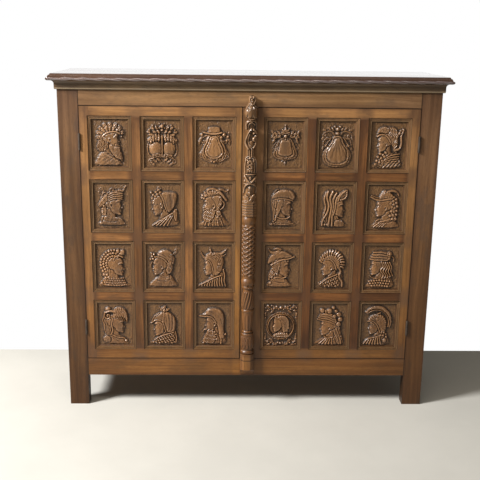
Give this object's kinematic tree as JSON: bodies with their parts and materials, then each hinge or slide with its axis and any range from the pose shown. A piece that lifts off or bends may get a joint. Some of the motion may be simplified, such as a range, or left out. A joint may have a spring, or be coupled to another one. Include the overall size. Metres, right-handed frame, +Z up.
{
  "type": "carved buffet cabinet",
  "caption": "Oak buffet cabinet with two framed doors of square carved panels, a carved half-column between them, a moulded top with a rope nose, and four square feet.",
  "frame": {"origin": "on the floor, under the middle of the cabinet's outline", "axes": "+X along the front to the viewer's right, -Y out of the front, +Z up"},
  "size_m": [1.469, 0.4244, 1.294],
  "materials": {
    "oak_frame": "waxed satin",
    "oak_dark": "waxed satin",
    "oak_carved": "waxed, polished on the high spots",
    "oak_inside": "unpolished",
    "dark_iron": "dark, oiled",
    "aged_brass": "tarnished"
  },
  "bodies": {
    "cabinet": {"top_board": "oak_dark", "cornice": "oak_dark", "frieze_rail": "oak_frame", "apron_rail": "oak_frame", "front_post_left": "oak_dark", "front_post_right": "oak_dark", "back_post_left": "oak_dark", "back_post_right": "oak_dark", "side_rails": "oak_dark", "side_panels": "oak_dark", "back_rails": "oak_dark", "back_boards": "oak_inside", "bottom_board": "oak_inside", "shelves": "oak_inside", "cleats": "oak_inside", "hinge_post_halves": "dark_iron"},
    "left_door": {"left_door_stiles": "oak_frame", "left_door_rails": "oak_frame", "left_muntins": "oak_frame", "left_cross_rails": "oak_frame", "left_mouldings": "oak_frame", "left_hinge_halves": "dark_iron", "bolt_plates": "aged_brass", "panel_r1_c1": "oak_carved", "panel_r1_c2": "oak_carved", "panel_r1_c3": "oak_carved", "panel_r2_c1": "oak_carved", "panel_r2_c2": "oak_carved", "panel_r2_c3": "oak_carved", "panel_r3_c1": "oak_carved", "panel_r3_c2": "oak_carved", "panel_r3_c3": "oak_carved", "panel_r4_c1": "oak_carved", "panel_r4_c2": "oak_carved", "panel_r4_c3": "oak_carved"},
    "right_door": {"right_door_stiles": "oak_frame", "right_door_rails": "oak_frame", "right_muntins": "oak_frame", "right_cross_rails": "oak_frame", "right_mouldings": "oak_frame", "right_hinge_halves": "dark_iron", "lock_case": "aged_brass", "column_herm": "oak_carved", "column_shaft": "oak_carved", "column_block": "oak_carved", "panel_r1_c4": "oak_carved", "panel_r1_c5": "oak_carved", "panel_r1_c6": "oak_carved", "panel_r2_c4": "oak_carved", "panel_r2_c5": "oak_carved", "panel_r2_c6": "oak_carved", "panel_r3_c4": "oak_carved", "panel_r3_c5": "oak_carved", "panel_r3_c6": "oak_carved", "panel_r4_c4": "oak_carved", "panel_r4_c5": "oak_carved", "panel_r4_c6": "oak_carved"},
    "lock_bolt": {"lock_bolt": "dark_iron"},
    "upper_bolt": {"upper_bolt": "aged_brass"},
    "lower_bolt": {"lower_bolt": "aged_brass"}
  },
  "joints": [
    {"name": "left_door_swing", "type": "hinge", "parent": "cabinet", "child": "left_door", "pos_m": [-0.62525, -0.18075, 0.7], "axis": [0, 0, -1], "range_deg": [0, 170]},
    {"name": "right_door_swing", "type": "hinge", "parent": "cabinet", "child": "right_door", "pos_m": [0.62525, -0.18075, 0.7], "axis": [0, 0, 1], "range_deg": [0, 170]},
    {"name": "lock_bolt_throw", "type": "slide", "parent": "right_door", "child": "lock_bolt", "axis": [-1, 0, 0], "range_m": [0, 0.012]},
    {"name": "upper_bolt_slide", "type": "slide", "parent": "left_door", "child": "upper_bolt", "axis": [0, 0, 1], "range_m": [0, 0.014]},
    {"name": "lower_bolt_slide", "type": "slide", "parent": "left_door", "child": "lower_bolt", "axis": [0, 0, -1], "range_m": [0, 0.014]}
  ]
}
